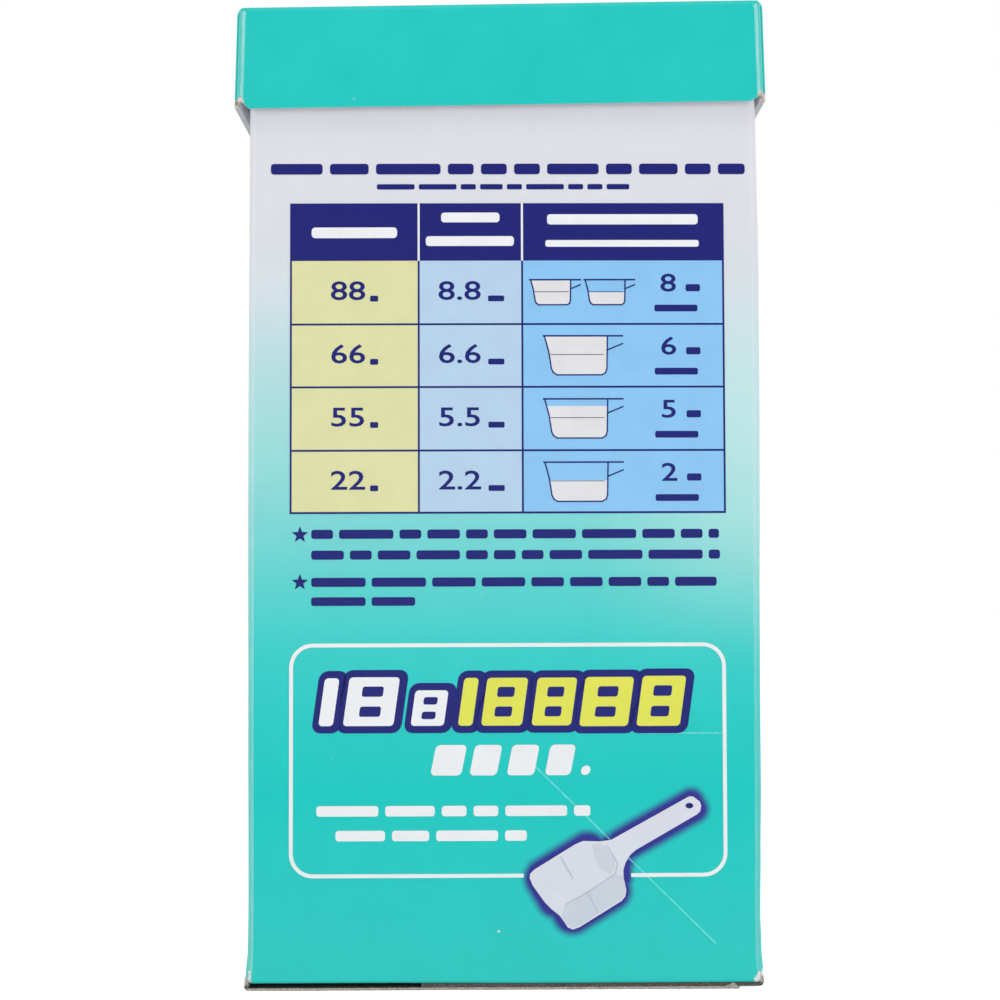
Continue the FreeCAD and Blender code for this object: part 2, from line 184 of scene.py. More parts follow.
def fade(tree, away, full, faded):
    """1 up to a distance, and smoothly 0 past another, in millimetres."""
    return add_node(tree, "ShaderNodeMapRange", {"interpolation_type": "SMOOTHSTEP"},
                    {"Value": away, "From Min": mm(full), "From Max": mm(faded), "To Min": 1.0,
                     "To Max": 0.0}).outputs["Result"]


def mark_share(tree, place, across, height, half_length, half_width, turn, full, faded):
    """Share of a mark at the near side: 1 up to so far outside a turned bar, fading to 0 further out."""
    moved = add_node(tree, "ShaderNodeMapping", {"vector_type": "TEXTURE"},
                     {"Vector": place, "Location": (mm(across), -HALF_DEPTH, mm(height)),
                      "Rotation": (0, -math.radians(turn), 0)}).outputs["Vector"]
    folded = vector_node(tree, "ABSOLUTE", moved)["Vector"]
    bar = (mm(half_length), HALF_DEPTH, mm(half_width))
    past = vector_node(tree, "SUBTRACT", folded, bar)["Vector"]
    outside = vector_node(tree, "MAXIMUM", past)["Vector"]
    return fade(tree, vector_node(tree, "LENGTH", outside)["Value"], full, faded)


def all_marks(tree, place, marks):
    """The largest share of several marks."""
    total = 0.0
    for mark in marks:
        total = math_node(tree, "MAXIMUM", total, mark_share(tree, place, *mark))
    return total


TORN_RANGE = (1.6, -0.8)  # factor and shift of the noise along a torn edge
TORN_LIMIT = 0.5
CRACK_SIZE = 0.5
CRACK_STRETCH = (1.0, 1.0, 0.12)  # cracks at an upright fold are drawn out up it
CRACK_RANGE = (1.5, 0.25)  # factor and shift of the noise between such cracks


def ragged(tree, place, share, grain_mm):
    """Cuts a soft share off at an uneven line, as torn paper has."""
    uneven = math_node(tree, "MULTIPLY_ADD", noise(tree, place, grain_mm), *TORN_RANGE)
    return math_node(tree, "GREATER_THAN", math_node(tree, "ADD", share, uneven), TORN_LIMIT)


def worn_and_highlit_folds(tree, place, colour, bare):
    """Lighter colour where the board is folded, broken by short cracks: partly ink cracked by wear, partly a
    painted highlight on the rounded fold. A face attribute says how much.
    """
    wear_and_highlight = add_node(tree, "ShaderNodeAttribute", {"attribute_name": "wear_and_highlight"}).outputs["Fac"]
    run = add_node(tree, "ShaderNodeMapping", {"vector_type": "POINT"},
                   {"Vector": place, "Scale": CRACK_STRETCH}).outputs["Vector"]
    cracks = math_node(tree, "MULTIPLY_ADD", noise(tree, run, CRACK_SIZE), *CRACK_RANGE)
    share = math_node(tree, "MINIMUM", times(tree, wear_and_highlight, cracks), 1.0)
    return mix_colour(tree, share, colour, linear(bare))


# Board

# Ground colour of the print at heights in millimetres
GROUND_STOPS = ((0, "#2FCBC5"), (30, "#1DCBC4"), (43, "#0CC9C3"), (60, "#22CCC5"), (74, "#36CFCA"),
                (88, "#5AD4D0"), (104, "#80D9D8"), (118, "#9BDEDD"), (133, "#B2E0E2"),
                (146, "#C8E1E6"), (156, "#D8E1E7"), (166, "#DEE0E7"), (186, "#E1E1E8"))
GROUND_SPAN = 200  # height of the whole ramp
GROUND_SHADE = (0.97, 0.97, 0.97, 1)  # the darkest of the ground's mottle
GROUND_MOTTLE = 9
# Painted sheen: the ground is painted lighter towards the near panel's right fold, standing in for a soft
# reflection of the lamps
PAINTED_SHEEN_HEIGHT = 116  # where the painted sheen, a soft reflection painted into the ground, is strongest towards the panel's right fold
PAINTED_SHEEN_UP = (8, 48)  # how far from that height the painted sheen is full, and where it has faded
PAINTED_SHEEN_ACROSS = (56, 14)  # the same across the panel, from its middle
PAINTED_SHEEN_SHARE = 0.22

# Marks at the near side: middle across and up, half length, half width, turn in degrees, then how far
# outside the mark is full and where it has faded. All but the turn are in millimetres.
GLOW_MARKS = ((14.9, 25.1, 5.5, 2.5, 31, 3.5, 5.7), (18, 21.2, 4.95, 2.5, 31, 3.4, 5.6),
              (33.8, 35.8, 8.9, 0.9, 29, 2, 4.2), (23, 28.6, 1.6, 1.6, 31, 2.2, 4.6),
              (26.2, 25.4, 0.3, 1.4, 0, 0.7, 2.7))
# Painted highlights: pale lines along the two creases that stand out, standing in for the light they catch
CREASE_HIGHLIGHTS = ((26.1, 30, 28.5, 0, -44.5, 0.02, 0.22), (39, 56, 9, 0, 0, 0, 0.22))
PALE_SCUFFS = ((56.6, 2.9, 1.2, 0.1, 35, 0.1, 1.5), (-55.9, 3.2, 0, 1.1, 0, 0, 0.6),
               (-1.2, 12.9, 0.05, 0.05, 0, 0.1, 0.35))
TORN_CORNERS = ((-56.8, 0.8, 0.3, 0.7, 0, 0.5, 1.5), (56.9, 1.2, 0.1, 0.4, 0, 0.2, 1))
LID_SCUFFS = ((-58.6, 196, 0.4, 0.2, 25, 0.2, 1.6), (58.2, 197.6, 0.3, 0.2, -25, 0.2, 1.5),
              (-32.8, 196.7, 0, 0, 0, 0.05, 0.3))
NEAR_DEPTH = mm(2)  # marks reach this far back from the near panel
LID_NEAR_DEPTH = mm(4)
SCUFF_GRAIN = 0.5
TORN_GRAIN = 0.4
BREAK_SIZE = 1.2  # of the breaks along a painted crease highlight
BREAK_RANGE = (1.3, -0.1)  # factor and shift of their noise

PAPER_SHEEN = 0.2
VARNISH_ROUGHNESS = 0.46
INK_ROUGHNESS = 0.44
LINER_ROUGHNESS = 0.85
EDGE_ROUGHNESS = 0.9

# Size and depth of each surface's grain, in millimetres
VARNISH_GRAIN = (1.1, 0.006)
INK_GRAIN = (1.1, 0.004)
LINER_GRAIN = (0.5, 0.03)
EDGE_GRAIN = (0.35, 0.05)
PLASTIC_GRAIN = (2.2, 0.01)

LID_MOTTLE = 12
INK_MOTTLE = 6
INK_SHADE = 0.965  # the darkest of an ink's mottle, as a share of its colour
EDGE_STEPS = (0.3, 0.55, 0.8)


def printed_ground(tree, place, parts, near):
    """The ground's colour, which deepens down the box and is lightened by a painted sheen at the near
    panel's right fold.
    """
    stops = [(height / GROUND_SPAN, code) for height, code in GROUND_STOPS]
    colour = colour_ramp(tree, math_node(tree, "DIVIDE", parts["Z"], mm(GROUND_SPAN)), stops)
    mottle = noise(tree, place, GROUND_MOTTLE, 4.0)
    tint = colour_ramp(tree, mottle, ((0.3, GROUND_SHADE), (0.7, (1, 1, 1, 1))))
    colour = mix_colour(tree, 1.0, colour, tint, "MULTIPLY")
    # Painted sheen: a reflection put into the ground colour at the right fold
    off_middle = math_node(tree, "ABSOLUTE", math_node(tree, "SUBTRACT", parts["Z"], mm(PAINTED_SHEEN_HEIGHT)))
    painted_sheen = times(tree, fade(tree, off_middle, *PAINTED_SHEEN_UP), fade(tree, parts["X"], *PAINTED_SHEEN_ACROSS))
    painted_sheen = times(tree, painted_sheen, times(tree, near, PAINTED_SHEEN_SHARE))
    return mix_colour(tree, painted_sheen, colour, linear("#FFFFFF"))


def make_printed_board():
    """Coated board, offset printed: a pale ground that deepens down the box, under a satin varnish.

    It is smooth and softly shining, with a painted sheen by the near panel's right fold, painted highlights
    along its raised creases, folds lightened by a painted highlight over cracked ink, and torn fibres at the
    lowest corners.
    """
    material, tree, shader = new_material("coated_board_offset_printed", VARNISH_ROUGHNESS, PAPER_SHEEN)
    place = object_place(tree)
    surface_grain(tree, shader, place, *VARNISH_GRAIN)
    parts = add_node(tree, "ShaderNodeSeparateXYZ", links={"Vector": place}).outputs
    near = math_node(tree, "LESS_THAN", parts["Y"], NEAR_DEPTH - HALF_DEPTH)
    colour = printed_ground(tree, place, parts, near)
    glow = times(tree, all_marks(tree, place, GLOW_MARKS), near)
    colour = mix_colour(tree, glow, colour, linear("#2C2E8C"))
    breaks = noise(tree, place, BREAK_SIZE)
    # Painted highlight along the raised creases, broken by noise
    line = times(tree, all_marks(tree, place, CREASE_HIGHLIGHTS), near)
    line = times(tree, line, math_node(tree, "MULTIPLY_ADD", breaks, *BREAK_RANGE))
    colour = mix_colour(tree, line, colour, linear("#98EBE6"))
    # Folds: cracked ink and a painted highlight
    colour = worn_and_highlit_folds(tree, place, colour, "#F2F4F7")
    scuffs = times(tree, ragged(tree, place, all_marks(tree, place, PALE_SCUFFS), SCUFF_GRAIN), near)
    colour = mix_colour(tree, scuffs, colour, linear("#E4E6E6"))
    torn = times(tree, ragged(tree, place, all_marks(tree, place, TORN_CORNERS), TORN_GRAIN), near)
    fibres = colour_ramp(tree, breaks, ((0.35, "#8C7F78"), (0.65, "#C9BFB6")))
    colour = mix_colour(tree, torn, colour, fibres)
    tree.links.new(colour, shader.inputs["Base Color"])
    return material


def make_lid_board():
    """Coated board, offset printed in one ink: an even colour with a faint mottle, under a satin varnish.

    The ink is lighter at the folds, where it cracks and where a painted highlight lies on them, and the
    lowest corners show torn fibres.
    """
    material, tree, shader = new_material("coated_board_solid_ink", VARNISH_ROUGHNESS, PAPER_SHEEN)
    place = object_place(tree)
    grain = surface_grain(tree, shader, place, *VARNISH_GRAIN)
    mottle = noise(tree, place, LID_MOTTLE, 4.0)
    colour = colour_ramp(tree, mottle, ((0.25, "#16C4BD"), (0.75, "#20C9C2")))
    # Folds: cracked ink and a painted highlight
    colour = worn_and_highlit_folds(tree, place, colour, "#D5F6F3")
    torn = ragged(tree, place, all_marks(tree, place, LID_SCUFFS), TORN_GRAIN)
    along = add_node(tree, "ShaderNodeSeparateXYZ", links={"Vector": place}).outputs["Y"]
    torn = times(tree, torn, math_node(tree, "LESS_THAN", along, LID_NEAR_DEPTH + LID_LOW.y))
    fibres = colour_ramp(tree, grain, ((0.4, "#A2958B"), (0.6, "#E2DBD2")))
    colour = mix_colour(tree, torn, colour, fibres)
    tree.links.new(colour, shader.inputs["Base Color"])
    return material


def make_bare_board():
    """Inside of the board, uncoated: a pale grey-white sheet with short fibres."""
    material, tree, shader = new_material("uncoated_board_liner", LINER_ROUGHNESS, PAPER_SHEEN)
    grain = surface_grain(tree, shader, object_place(tree), *LINER_GRAIN)
    fibres = colour_ramp(tree, grain, ((0.3, "#DCDDE0"), (0.7, "#F0F1F3")))
    tree.links.new(fibres, shader.inputs["Base Color"])
    return material


def make_cut_edge(name, codes):
    """Die-cut edge of the board: short fibres of its core, from dark to pale, and no shine."""
    material, tree, shader = new_material(name, EDGE_ROUGHNESS, PAPER_SHEEN)
    grain = surface_grain(tree, shader, object_place(tree), *EDGE_GRAIN)
    fibres = colour_ramp(tree, grain, tuple(zip(EDGE_STEPS, codes)))
    tree.links.new(fibres, shader.inputs["Base Color"])
    return material


def make_ink(name, code):
    """Offset ink under varnish: a flat colour with the faint mottle of the board below."""
    material, tree, shader = new_material(name, INK_ROUGHNESS, PAPER_SHEEN)
    place = object_place(tree)
    surface_grain(tree, shader, place, *INK_GRAIN)
    base = linear(code)
    darker = tuple(channel * INK_SHADE for channel in base[:3]) + (1.0,)
    mottle = noise(tree, place, INK_MOTTLE, 3.0)
    tree.links.new(colour_ramp(tree, mottle, ((0.35, darker), (0.6, base))), shader.inputs["Base Color"])
    return material


# Powder and scoop

POWDER_GRAIN = 0.9
POWDER_RELIEF = 0.6
BLUE_SHARE = 0.022  # share of the powder's grains that are blue
SCOOP_GLOW_DEPTH = mm(2)  # light passes this far into the scoop


def make_powder():
    """Spray-dried detergent: matte white grains with a few blue ones."""
    material, tree, shader = new_material("spray_dried_powder", 0.95, 0.15)
    grains = add_node(tree, "ShaderNodeTexVoronoi", {"feature": "F1"},
                      {"Vector": object_place(tree), "Scale": 1 / mm(POWDER_GRAIN)}).outputs
    bump = add_node(tree, "ShaderNodeBump", {"invert": True},
                    {"Height": grains["Distance"], "Distance": mm(POWDER_RELIEF), "Strength": 0.7})
    tree.links.new(bump.outputs["Normal"], shader.inputs["Normal"])
    pick = add_node(tree, "ShaderNodeSeparateColor", links={"Color": grains["Color"]}).outputs[0]
    blue = "#5B86C9"
    stops = ((0.0, blue), (BLUE_SHARE, blue), (BLUE_SHARE + 0.001, "#E9EBEF"), (1.0, "#F2F3F5"))
    tree.links.new(colour_ramp(tree, pick, stops), shader.inputs["Base Color"])
    return material


def make_scoop_plastic():
    """Polypropylene, injection moulded: milky white, a soft sheen, and light passing a little way in."""
    material, tree, shader = new_material("moulded_polypropylene", 0.36, 0.5, IOR=1.49,
                                          Subsurface_Weight=0.15)
    shader.inputs["Subsurface Radius"].default_value = (SCOOP_GLOW_DEPTH,) * 3
    grain = surface_grain(tree, shader, object_place(tree), *PLASTIC_GRAIN)
    tones = colour_ramp(tree, grain, ((0.3, "#E8EAEC"), (0.7, "#F1F2F3")))
    tree.links.new(tones, shader.inputs["Base Color"])
    return material


PRINTED = make_printed_board()
LID_BOARD = make_lid_board()
BARE = make_bare_board()
CUT_EDGE = make_cut_edge("die_cut_greyboard", ("#8A7F79", "#B5ABA4", "#E2DEDA"))
# Painted shade: a dark edge colour for the slit at the carton's foot, standing in for the shadow inside it
SLIT_SHADE_EDGE = make_cut_edge("die_cut_greyboard_painted_shade", ("#3E3835", "#5E5551", "#837A75"))
# Painted light: the lid's cut edges, which face down, are painted lighter than the board's brown core,
# standing in for light from below
PAINTED_LIGHT_EDGE = make_cut_edge("die_cut_board_painted_light", ("#B4B3B4", "#D5D6D9", "#F0F1F3"))
POWDER = make_powder()
SCOOP = make_scoop_plastic()
NAVY = make_ink("ink_navy", "#10176F")
YELLOW = make_ink("ink_pale_yellow", "#E0E0A9")
PALE_BLUE = make_ink("ink_pale_blue", "#B8D4EC")
SKY_BLUE = make_ink("ink_sky_blue", "#8DC7F4")
WHITE = make_ink("ink_white", "#F0F1F4")
HEAD_YELLOW = make_ink("ink_bright_yellow", "#E4E458")
CUP_FILL = make_ink("ink_warm_white", "#E4E3E6")
SCOOP_PALE = make_ink("ink_pale_lilac", "#DEDFEA")
SCOOP_SHADE = make_ink("ink_cool_grey", "#D0D4DF")
SCOOP_LINE = make_ink("ink_line_grey", "#B4BAC9")


# How the filled box is bent

# How far the near panel's folds bend outwards: height and amount, in millimetres
RIGHT_SWELL = ((0, 0.9), (4, 0.85), (8, 0.5), (16, 0.3), (30, 0.5), (45, 0.7), (85, 0.75), (107, 0.95),
               (130, 1.1), (163, 1.1), (183, 0.8), (193, 0.62), (202, 0.4), (213.5, 0))
LEFT_SWELL = ((0, 0.9), (3, 0.7), (7, 0.25), (16, 0.1), (60, 0.25), (110, 0.35), (160, 0.25),
              (185, 0.15), (195, 0.1), (213.5, 0))
FOLD_ZONE = mm(5)  # this much of a panel moves with its fold
SIDE_SWELL = 0.2  # the middle of a side panel bends out by this share more
FAR_EASE = 0.6  # the far folds bend out by this share less
BULGE = mm(0.45)  # how far the powder presses the near panel out
FAR_BULGE = 0.6 * BULGE
BULGE_SKEW = 0.8  # less than 1, so a panel is fullest below its middle
BULGE_FULLNESS = 0.7  # less than 1, so it fills out soon from its ends
PANEL_POWER = 6  # how soon a bend ends behind its panel

# The near panel's lowest fold stands off the outer flap, at the left by more than at the right
LEFT_LIFT, RIGHT_LIFT = mm(0.55), mm(0.25)
LIFT_STEP = (mm(-25), mm(5))  # the change is between these places
LIFT_ZONE = mm(6)
FLAP_TOP = mm(0.9)  # what is lower belongs to the outer flap and stays

# Creases in the near panel: start, end, width and depth in millimetres. One under 0 stands out.
CREASES = (((5.7, 50.0), (46.5, 9.9), 1.6, -0.10), ((-25.1, 30.6), (-45.9, 12.3), 2.0, 0.08),
           ((30.0, 56.0), (48.1, 55.9), 1.4, -0.07), ((-0.7, 103.0), (-0.4, 72.2), 2.0, 0.05))


def swell_at(table, height):
    """Reads a table of heights and amounts, rounding it between its places."""
    for (low, first), (high, second) in zip(table, table[1:]):
        if height <= high:
            share = share_of((height - low) / (high - low))
            return first + (second - first) * share * share * (3 - 2 * share)
    return table[-1][1]


def press(point):
    """Moves a place on the tube as the powder inside bends its panels, in metres."""
    up = share_of(point.z / CREASE)
    swell = math.sin(math.pi * up ** BULGE_SKEW) ** BULGE_FULLNESS if 0 < up < 1 else 0
    across = math.cos(math.pi * min(abs(point.x) / HALF_WIDTH, 1) / 2)
    along = math.cos(math.pi * min(abs(point.y) / HALF_DEPTH, 1) / 2)
    side_share = share_of((abs(point.x) - HALF_WIDTH + FOLD_ZONE) / FOLD_ZONE) ** 2
    near_share = share_of(-point.y / HALF_DEPTH) ** PANEL_POWER
    far_share = share_of(point.y / HALF_DEPTH) ** PANEL_POWER
    fold_swell = swell_at(RIGHT_SWELL if point.x > 0 else LEFT_SWELL, point.z * 1000)
    fold_swell *= 1 + SIDE_SWELL * along - FAR_EASE * far_share
    moved = point.copy()
    moved.x += math.copysign(mm(fold_swell) * side_share, point.x)
    moved.y -= BULGE * swell * across * near_share
    moved.y -= FAR_BULGE * swell * across * far_share
    moved.y += crease_depth(point) * near_share
    moved.z += base_lift(point)
    return moved


def base_lift(point):
    """How far a place by the near panel's lowest fold rises."""
    if point.z < FLAP_TOP:
        return 0
    low_share = share_of(1 - point.z / LIFT_ZONE)
    near_share = share_of((LIFT_ZONE - point.y - HALF_DEPTH) / LIFT_ZONE)
    right_share = share_of((point.x - LIFT_STEP[0]) / (LIFT_STEP[1] - LIFT_STEP[0]))
    return (LEFT_LIFT + (RIGHT_LIFT - LEFT_LIFT) * right_share) * low_share * near_share


def crease_depth(point):
    """How deep the creases lie at a place on the near panel."""
    total = 0
    place = Vector((point.x, point.z))
    for start, end, width, depth in CREASES:
        first = Vector((mm(start[0]), mm(start[1])))
        run = Vector((mm(end[0]), mm(end[1]))) - first
        share = share_of((place - first).dot(run) / run.length_squared)
        away = (place - first - run * share).length / mm(width)
        if away < 1:
            total += mm(depth) * (1 + math.cos(math.pi * away)) / 2
    return total


# Pieces

JOIN_GAP = mm(0.002)  # corners nearer than this are one
FLAT_ANGLE = math.radians(0.4)  # faces that meet at less than this are one
SMOOTH_ANGLE = math.radians(35)  # and at less than this they are shaded as one
CUT_GAP = mm(0.001)  # a cut uses the corners that are nearer than this


def finish_piece(bm, name, materials, body):
    """Makes the mesh an object that rides on a body."""
    mesh = bpy.data.meshes.new(name)
    bm.to_mesh(mesh)
    bm.free()
    for material in materials:
        mesh.materials.append(material)
    piece = bpy.data.objects.new(name, mesh)
    bpy.context.scene.collection.objects.link(piece)
    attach(piece, body)
    return piece


def cut(bm, axis, place, gap):
    """Cuts every face by a plane across an axis."""
    normal = Vector((0, 0, 0))
    normal[axis] = 1
    geometry = bm.verts[:] + bm.edges[:] + bm.faces[:]
    bmesh.ops.bisect_plane(bm, geom=geometry, dist=gap, plane_co=normal * place, plane_no=normal)


def cut_grid(bm, axis, spacing, low, high):
    """Cuts every face at equal steps along an axis."""
    count = int((high - low) / spacing)
    for step in range(1, count + 1):
        cut(bm, axis, low + step * (high - low) / (count + 1), CUT_GAP)


def node_copy(node):
    """The CAD node's mesh, with its loose triangles joined and its flat faces made whole."""
    bm = bmesh.new()
    bm.from_mesh(frame["nodes"][node].data)
    bmesh.ops.remove_doubles(bm, verts=bm.verts, dist=JOIN_GAP)
    for layer in list(bm.loops.layers.uv):
        bm.loops.layers.uv.remove(layer)
    bmesh.ops.dissolve_limit(bm, angle_limit=FLAT_ANGLE, verts=bm.verts, edges=bm.edges)
    return bm


def triangulate_large(bm):
    """Makes triangles of the faces with more than four corners."""
    bmesh.ops.triangulate(bm, faces=[face for face in bm.faces if len(face.verts) > 4])


def smooth_folds(bm):
    """Shades faces as one surface where they meet at a small angle."""
    for face in bm.faces:
        face.smooth = True
    for edge in bm.edges:
        edge.smooth = len(edge.link_faces) == 2 and edge.calc_face_angle(math.pi) < SMOOTH_ANGLE


# Carton

PRINT_SIDE, LINER_SIDE, EDGE_SIDE, SLIT_SIDE = 0, 1, 2, 3
GRID = mm(4)  # spacing of the cuts that let a panel bend
FLAT_PART = 0.995  # a face lies in a panel when one part of its normal is more than this
LEVEL_PART = 0.5  # and it faces up or down when the upright part is more than this
CLEAR = mm(0.2)  # a raw edge under the base lies this far inside the outline of the tube
RAW_CLEAR = mm(0.45)  # the same along the seam
RAW_FOOT = mm(3)  # the base's raw edges are lower than this
RIM_DEPTH = mm(2)  # and the rim's are this near the crease
SLIT_TOP = mm(1.3)  # faces that look up below this are in the slit at the foot, and get the painted shade
SLIT_BACK = (mm(0.62), mm(1.25))  # its back wall, also painted in shade, is between these heights

FOLD_WEAR_AND_HIGHLIGHT = 0.16  # share of lighter colour over a fold of the carton: bare board where the ink cracks, and a painted highlight
FOLD_LINE_WEAR_AND_HIGHLIGHT = 0.24  # along the line where the near panel starts to turn
FOLD_LINE_PART = 0.88  # there the normal's part along Y is more than this
RIGHT_WEAR_AND_HIGHLIGHT = 0.6  # the folds at the right get less of this wear and painted highlight than those at the left


def past_outline(point):
    """How far a place is outside the tube's outline from above. Inside it this is under 0."""
    return max(abs(point.x) - HALF_WIDTH, abs(point.y) - HALF_DEPTH)


def is_cut_edge(normal, place):
    """Tells the raw edges of the carton's board at its rim, under its base and along its seam."""
    rim = normal.z > 0.3 and place.z > CREASE - RIM_DEPTH
    base = abs(normal.z) < LEVEL_PART and past_outline(place) < -CLEAR and place.z < RAW_FOOT
    seam = past_outline(place) < -RAW_CLEAR and place.z > RAW_FOOT
    return rim or base or seam


def is_fold(normal):
    """Tells a rounded fold between two panels from the panels themselves."""
    return abs(normal.z) < 0.1 and max(abs(normal.x), abs(normal.y)) < FLAT_PART


def paint_carton(bm):
    """Tells the printed side, the liner and the cut edges of the carton apart, paints the slit at its foot
    dark as painted shade, and lightens its folds with wear and a painted highlight.
    """
    middle = Vector((0, 0, CREASE / 2))
    wear_and_highlight = bm.faces.layers.float.new("wear_and_highlight")
    for face in bm.faces:
        place = face.calc_center_median()
        # Painted shade: faces in the slit at the foot take the dark edge colour
        if place.z < SLIT_TOP and face.normal.z > LEVEL_PART:
            face.material_index = SLIT_SIDE
        elif face.normal.dot(place - middle) <= 0:
            face.material_index = LINER_SIDE
        elif is_cut_edge(face.normal, place):
            in_slit = SLIT_BACK[0] < place.z < SLIT_BACK[1] and face.normal.y < -0.9
            face.material_index = SLIT_SIDE if in_slit else EDGE_SIDE
        else:
            face.material_index = PRINT_SIDE
            if is_fold(face.normal):
                # Wear and a painted highlight together make a fold lighter
                fold_paling = FOLD_LINE_WEAR_AND_HIGHLIGHT if abs(face.normal.y) > FOLD_LINE_PART else FOLD_WEAR_AND_HIGHLIGHT
                face[wear_and_highlight] = fold_paling * RIGHT_WEAR_AND_HIGHLIGHT if place.x > 0 else fold_paling


def is_near_panel(face):
    """Tells the faces of the near panel, which has the print."""
    return face.normal.y < -0.99 and face.calc_center_median().y < mm(1) - HALF_DEPTH


def build_carton():
    """The carton: cut finely enough to bend, painted and pressed out by the powder."""
    bm = node_copy("carton_body")
    cut_grid(bm, 0, GRID, -HALF_WIDTH, HALF_WIDTH)
    cut_grid(bm, 1, GRID, -HALF_DEPTH, HALF_DEPTH)
    cut_grid(bm, 2, GRID, 0, CARTON_HIGH.z)
    near = [face for face in bm.faces if is_near_panel(face)]
    edges = list({edge for face in near for edge in face.edges})
    bmesh.ops.subdivide_edges(bm, edges=edges, cuts=1, use_grid_fill=True)
    triangulate_large(bm)
    paint_carton(bm)
    for vertex in bm.verts:
        vertex.co = press(vertex.co)
    smooth_folds(bm)
    piece = finish_piece(bm, "printed_carton", (PRINTED, BARE, CUT_EDGE, SLIT_SHADE_EDGE), "box")
    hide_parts("carton_body")


# Lid

LID_GRID = mm(8)
SKIRT_LIFT = mm(0.8)  # the side skirts' edges rise this much towards the near end
SKIRT_ZONE = mm(7)
SKIRT_INSIDE = mm(56.6)  # the side skirts are further out than this
SKIRT_STEP = mm(1)  # and move in full from this much further out
RAW_WIDTH = mm(0.8)  # a raw edge of the board is narrower than this
PANEL_WIDTH = mm(1.5)  # and a panel is wider than this
TAB_DEPTH = mm(1.2)  # raw edges that look at the viewer are this far behind the near skirt
TAB_FAR_DEPTH = mm(0.3)  # and those that look away are this far inside the far panel
CORNER_WEAR_AND_HIGHLIGHT = 0.1  # share of lighter colour at the lid's upright corners: bare board where the ink cracks, and a painted highlight
CORNER_LINE_WEAR_AND_HIGHLIGHT = 0.4  # along the two lines where such a corner starts and stops to turn
RAW_WEAR = 0.25  # on the raw edge of a skirt, whose ink is crushed over it


def is_lid_corner(face):
    """Tells the rounded upright corners. A skirt leans out a little, so its size tells it from them."""
    turned = max(abs(part) for part in face.normal) < FLAT_PART
    narrow = min(edge.calc_length() for edge in face.edges) <= PANEL_WIDTH
    return abs(face.normal.z) < 0.15 and turned and narrow


def paint_lid(bm):
    """Tells the printed side, the liner and the cut edges of the lid apart, and lightens its corners with
    wear and a painted highlight.
    """
    middle = Vector((0, 0, (CREASE + LID_HIGH.z) / 2))
    wear_and_highlight = bm.faces.layers.float.new("wear_and_highlight")
    for face in bm.faces:
        place = face.calc_center_median()
        narrow = min(edge.calc_length() for edge in face.edges) < RAW_WIDTH
        raw_near = narrow and face.normal.y < -0.9 and place.y > LID_LOW.y + TAB_DEPTH
        raw_far = narrow and face.normal.y > 0.9 and place.y < HALF_DEPTH - TAB_FAR_DEPTH
        if face.normal.dot(place - middle) <= 0:
            face.material_index = LINER_SIDE
        # The lid's cut edges take the edge colour that is painted light
        elif face.normal.z < -LEVEL_PART or raw_far:
            face.material_index = EDGE_SIDE
        else:
            face.material_index = PRINT_SIDE
            if raw_near:
                face[wear_and_highlight] = RAW_WEAR
            elif is_lid_corner(face):
                line = abs(face.normal.y) > 0.93 or 0.25 < abs(face.normal.y) < 0.6
                face[wear_and_highlight] = CORNER_LINE_WEAR_AND_HIGHLIGHT if line else CORNER_WEAR_AND_HIGHLIGHT


def skirt_lift(point):
    """How far a place at the lower edge of a side skirt rises."""
    low_share = share_of(1 - (point.z - LID_LOW.z) / SKIRT_ZONE)
    side_share = share_of((abs(point.x) - SKIRT_INSIDE) / SKIRT_STEP)
    near_share = share_of((HALF_DEPTH - point.y) / (2 * HALF_DEPTH))
    return SKIRT_LIFT * low_share * side_share * near_share


def build_lid():
    """The lid: painted, with side skirts whose edges rise a little towards the near end."""
    bm = node_copy("lid")
    cut_grid(bm, 0, LID_GRID, LID_LOW.x, LID_HIGH.x)
    cut_grid(bm, 1, LID_GRID, LID_LOW.y, LID_HIGH.y)
    triangulate_large(bm)
    paint_lid(bm)
    for vertex in bm.verts:
        vertex.co.z += skirt_lift(vertex.co)
    smooth_folds(bm)
    piece = finish_piece(bm, "printed_lid", (LID_BOARD, BARE, PAINTED_LIGHT_EDGE), "lid")
    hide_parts("lid")


# Print

INK_LIFT = 0.06  # ink over the board, in millimetres
INK_STEP = 0.03  # each layer of ink over the one below
INK_GRID = 2.0  # spacing of the cuts that let the ink follow the panel
INK_CUT_GAP = 1e-5
WIDE_ROUNDING = 2  # a rounding larger than this gets more segments
STAR_WAIST = 0.42  # the inner corners of a star, as a share of its radius


